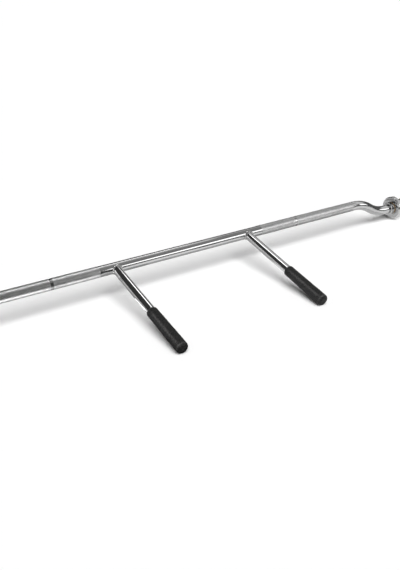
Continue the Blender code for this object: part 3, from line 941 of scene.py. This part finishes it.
# The cap: a flat rim, and a dome inside it that rises by 1 - s^2 of its height.
def buildCap(word, side):
    start, end, radius = turnedSize(word + "_end_cap", side)
    face = end - sleeve["capDome"]
    inside = radius - sleeve["capRim"]
    back, front = sleeve["capEdges"]
    share = np.linspace(1, 0, sleeve["domeRows"])[:-1]
    dome = np.stack([face + sleeve["capDome"] * (1 - share ** 2), inside * share], axis=-1)
    rim = np.array([(start, sleeve["capInnermost"]), (start, radius - back),
                    (start + back, radius), (face - front, radius), (face, radius - front)])
    addTurned(word + "_cap", word + "_end_cap", side, np.concatenate([rim, dome]),
              sleeveChrome, word + "_sleeve", loop=False)


# The cap's open snap ring: a flat section carried from one end of its gap round to the other.
# Its inner edge dips towards the axis near both ends, which makes the two lugs.
def buildCapRing(word, side):
    start, end, radius = turnedSize(word + "_end_cap_ring", side)
    inner = radius - sleeve["ringHeight"]
    half = sleeve["ringGap"] / inner / 2
    t = np.linspace(half, 2 * np.pi - half, sleeve["ringRows"])
    fromEnd = np.degrees(np.minimum(t - half, 2 * np.pi - half - t))
    pastLug = (fromEnd - sleeve["lugAngle"]) * sleeve["lugSteepness"]
    lug = sleeve["lugHeight"] / (1 + np.exp(pastLug))
    edge = sleeve["ringEdge"]
    along = np.array([start, start, start + edge, end - edge, end, end, end - edge,
                      start + edge])
    outer = np.array([False, True, True, True, True, False, False, False])
    inset = np.array([edge, edge, 0, 0, edge, edge, 0, 0])
    ringRadius = np.where(outer, radius - inset, (inner - lug)[:, None] + inset)
    across = np.cos(t)[:, None, None] * np.array([0, -1.0, 0])
    upwards = np.sin(t)[:, None, None] * np.array([0, 0, 1.0])
    grid = sleeveMiddle + (side * along)[None, :, None] * np.array([1.0, 0, 0])
    grid = grid + ringRadius[..., None] * (across + upwards)
    points, faces = shell(grid, loop=False)
    addPiece(word + "_cap_ring", points, faces, springSteel, word + "_sleeve",
             [word + "_end_cap_ring"])


# The inboard bushing's flange shows between the collar and the sleeve.
def buildInboardBushing(word, side):
    start, end, radius = turnedSize(word + "_inboard_bushing", side)
    inner, outer = sleeve["bushingBore"], sleeve["tubeBore"] - sleeve["bushingGap"]
    step = start + sleeve["bushingFlange"]
    corners = [(start, inner), (start, radius), (step, radius), (step, outer), (end, outer),
               (end, inner)]
    profile = softCorners(corners, sleeve["bushingEdges"])
    addTurned(word + "_bushing", word + "_inboard_bushing", side, profile, bronze,
              word + "_sleeve")


def dressNode(name, material):
    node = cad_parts[name]
    node.data.materials.clear()
    node.data.materials.append(material)


for word, side in sides:
    buildCollar(word, side)
    buildSleeveTube(word, side)
    buildFlange(word, side)
    buildCap(word, side)
    buildCapRing(word, side)
    buildInboardBushing(word, side)
    dressNode(word + "_outboard_bushing", bronze)
    dressNode(word + "_thrust_washer", springSteel)
    dressNode(word + "_shaft_ring", springSteel)
print("sleeves built")


# Studio: a white floor, one soft lamp above the camera, and what the chrome mirrors

studio = {
    "floorRadius": 40.0,
    "floorSides": 96,
    "floorTop": -0.0002,
    "floorColour": (0.86, 0.86, 0.86),
    "floorSeen": (1.0, 1.0, 1.0),          # by the camera
    "fill": 0.10,
    "lampTowards": (-0.148, -0.566, 0.806),
    "lampSpread": 55.0,          # how wide the lamp looks from the floor
    "lampLevel": 3.53,
    "lampDistance": 3,
    # What the gloss sees where there is no card: the level at the horizon and overhead, and
    # (sine of the height above the horizon, level) between them.
    "skyEnds": (0.10, 0.26),
    "skyStops": ((0.40, 0.12), (0.50, 0.70), (0.66, 0.72), (0.76, 0.28)),
}


def makeFloorMaterial():
    material, tree, surface = startMaterial("paleFloor")
    path = addNode(tree, "ShaderNodeLightPath")
    colour = mixColour(tree, path.outputs["Is Camera Ray"], studio["floorColour"],
                       studio["floorSeen"])
    setInputs(surface, Base_Color=colour, Roughness=0.9, Specular_IOR_Level=0.0)
    return material


# The floor: a wide flat disc of many sides.
def buildFloor():
    count = studio["floorSides"]
    t = 2 * np.pi * np.arange(count) / count
    points = np.stack([studio["floorRadius"] * np.cos(t), studio["floorRadius"] * np.sin(t),
                       np.full_like(t, studio["floorTop"])], axis=-1)
    floor = addMesh("floor", points.tolist(), [list(range(count))], makeFloorMaterial())


def buildLamp():
    lamp = bpy.data.lights.new("softLamp", "SUN")
    lamp.angle = math.radians(studio["lampSpread"])
    lamp.energy = studio["lampLevel"]
    towards = Vector(studio["lampTowards"]).normalized()
    piece = bpy.data.objects.new("softLamp", lamp)
    piece.location = towards * studio["lampDistance"]
    piece.rotation_euler = towards.to_track_quat("Z", "Y").to_euler()
    piece.visible_glossy = False
    bpy.context.scene.collection.objects.link(piece)


# A card that only the gloss of the object sees: a bright panel or a dark flag.
def addCard(name, corners, level):
    material, tree, _ = startMaterial(name)
    tree.nodes.clear()
    glow = addNode(tree, "ShaderNodeEmission")
    setInputs(glow, Color=(1, 1, 1, 1), Strength=level)
    setInputs(addNode(tree, "ShaderNodeOutputMaterial"), Surface=glow.outputs[0])
    card = addMesh(name, corners, [list(range(len(corners)))], material)
    for rays in ("camera", "diffuse", "shadow", "transmission"):
        setattr(card, "visible_" + rays, False)


# By name: the level, and the corners as (x, y, z). Where a card is level, its corners are
# (x, y), and its height comes after them.
cards = {
    "rightFrontPanel": (2.1, [
        (0.5, -1.70, 0.62), (0.64, -1.706, 0.503), (0.928, -1.526, 0.42), (1.72, -0.892, 0.42),
        (1.556, -0.684, 1.0), (0.515, -1.548, 1.02), (0.49, -1.60, 0.93)]),
    "rightUpperFlag": (0.24, [
        (0.376, -1.917, 1.2), (1.432, -1.072, 1.17), (1.511, -1.009, 1.33),
        (1.802, -0.777, 2.05), (1.696, -0.861, 2.4), (0.376, -1.917, 2.9)]),
    "bendPanel": (2.3, [
        (1.802, -0.777, 0.36), (2.118, -0.523, 0.36), (2.25, -0.418, 0.62),
        (2.158, -0.492, 0.8), (1.934, -0.671, 0.8)]),
    "leftCeiling": (5.3, [(0.0, 0.6), (1.0, 0.6), (1.03, 1.8), (0.0, 1.8)], 5.0),
    "ringCeiling": (0.9, [(1.12, 1.95), (1.26, 1.95), (1.36, 3.0), (1.2, 3.0)], 5.0),
    "leftCeilingSlip": (5.3, [(1.2, 0.6), (1.46, 0.6), (1.54, 1.8), (1.24, 1.8)], 5.0),
    "middleCeiling": (3.0, [(-0.25, 1.9), (0.95, 1.9), (0.95, 2.9), (-0.25, 2.9)], 5.0),
    "rightCeiling": (2.9, [(1.8, 3.2), (3.35, 3.9), (3.65, 4.85), (1.8, 3.85)], 5.0),
    "backFlag": (0.06, [
        (-0.2, 3.0), (1.3, 3.0), (1.45, 3.6), (1.8, 4.0), (3.7, 5.0), (4.8, 6.6), (5.0, 4.9),
        (6.0, 5.3), (8.8, 6.5), (16, 11), (16, 30), (3, 30), (-0.2, 12)], 4.99),
    "paleCeiling": (0.68, [
        (1.45, 0.6), (3.0, 0.6), (3.1, 1.2), (3.5, 3.1), (3.6, 4.3), (2.0, 4.3),
        (1.6, 1.9)], 5.01),
    "leftEndPanel": (2.3, [
        (-1.4, 0.55, 1.25), (-1.4, 0.55, 1.6), (-1.4, -0.45, 1.45), (-1.4, -1.3, 1.3),
        (-1.4, -1.3, 0.25), (-1.4, -0.85, 0.25), (-1.4, -0.55, 0.9)]),
    "leftBackFlag": (0.05, [
        (-1.588, 0.672, 0.309), (-0.462, 1.662, 0.309), (0.148, 0.969, 1.491),
        (-0.979, -0.022, 1.491)]),
    "leftFrontFlag": (0.06, [
        (-3.5, -1.8, 0.0), (0.6, -1.8, 0.0), (0.6, -1.8, 3.2), (-3.5, -1.8, 3.2)]),
    # The cards from here on lie just above the floor and stand for it in the chrome's
    # reflections: painted reflections, darker as painted shade in front of and under the bar,
    # brighter as painted lit strips.
    "frontFlag": (0.10, [
        (-3, -3.2), (3, -3.2), (3, -0.3), (0.05, -0.3), (-0.28, 0.045), (-3, 0.045)], 0.0006),
    "floorPanel": (2.15, [
        (-0.83, 0.045), (-0.28, 0.045), (-0.235, 0.028), (-0.235, 0.097), (-0.28, 0.112),
        (-0.83, 0.112)], 0.0005),
    "leftFloorPanel": (2.9, [
        (-0.83, 0.045), (-0.34, 0.045), (-0.34, 0.112), (-0.83, 0.112)], 0.0006),
    "ringCard": (0.62, [
        (-0.382, 0.0), (-0.354, 0.0), (-0.354, 0.125), (-0.382, 0.125)], 0.0007),
    "leftUnderCard": (0.38, [
        (-0.81, 0.112), (-0.28, 0.112), (-0.2, 0.085), (-0.09, 0.085), (-0.09, 0.355),
        (-0.81, 0.355)], 0.0004),
    "middleUnderCard": (0.50, [
        (-0.09, 0.085), (0.28, 0.085), (0.28, 0.355), (-0.09, 0.355)], 0.0004),
    "middleFloorCard": (1.03, [
        (-0.11, -0.06), (0.30, -0.06), (0.30, 0.05), (0.12, 0.07), (-0.11, 0.07)], 0.0003),
    "rightUnderCard": (0.31, [
        (0.28, 0.085), (0.72, 0.085), (0.72, 0.355), (0.28, 0.355)], 0.0004),
    "bendUnderCard": (0.62, [
        (0.72, 0.085), (0.83, 0.085), (0.83, 0.355), (0.72, 0.355)], 0.0004),
}


def buildWorld():
    world = bpy.data.worlds.new("studio")
    bpy.context.scene.world = world
    world.use_nodes = True
    tree = world.node_tree
    path = addNode(tree, "ShaderNodeLightPath")
    where = addNode(tree, "ShaderNodeTexCoord")
    split = addNode(tree, "ShaderNodeSeparateXYZ")
    setInputs(split, Vector=where.outputs["Generated"])
    ramp = addNode(tree, "ShaderNodeValToRGB")
    stops = ramp.color_ramp.elements
    for stop, position, level in zip(stops, (0.0, 1.0), studio["skyEnds"]):
        stop.position, stop.color = position, (level, level, level, 1)
    for position, level in studio["skyStops"]:
        stop = stops.new(position)
        stop.color = (level, level, level, 1)
    setInputs(ramp, Fac=split.outputs["Z"])
    gloss = mixColour(tree, path.outputs["Is Glossy Ray"], (studio["fill"],) * 3,
                      ramp.outputs[0])
    seen = mixColour(tree, path.outputs["Is Camera Ray"], gloss, (1.0, 1.0, 1.0))
    setInputs(tree.nodes["Background"], Color=seen, Strength=1.0)


buildFloor()
buildLamp()
for name, (level, corners, *height) in cards.items():
    addCard(name, [(*corner, *height) for corner in corners], level)
buildWorld()
print("studio built")
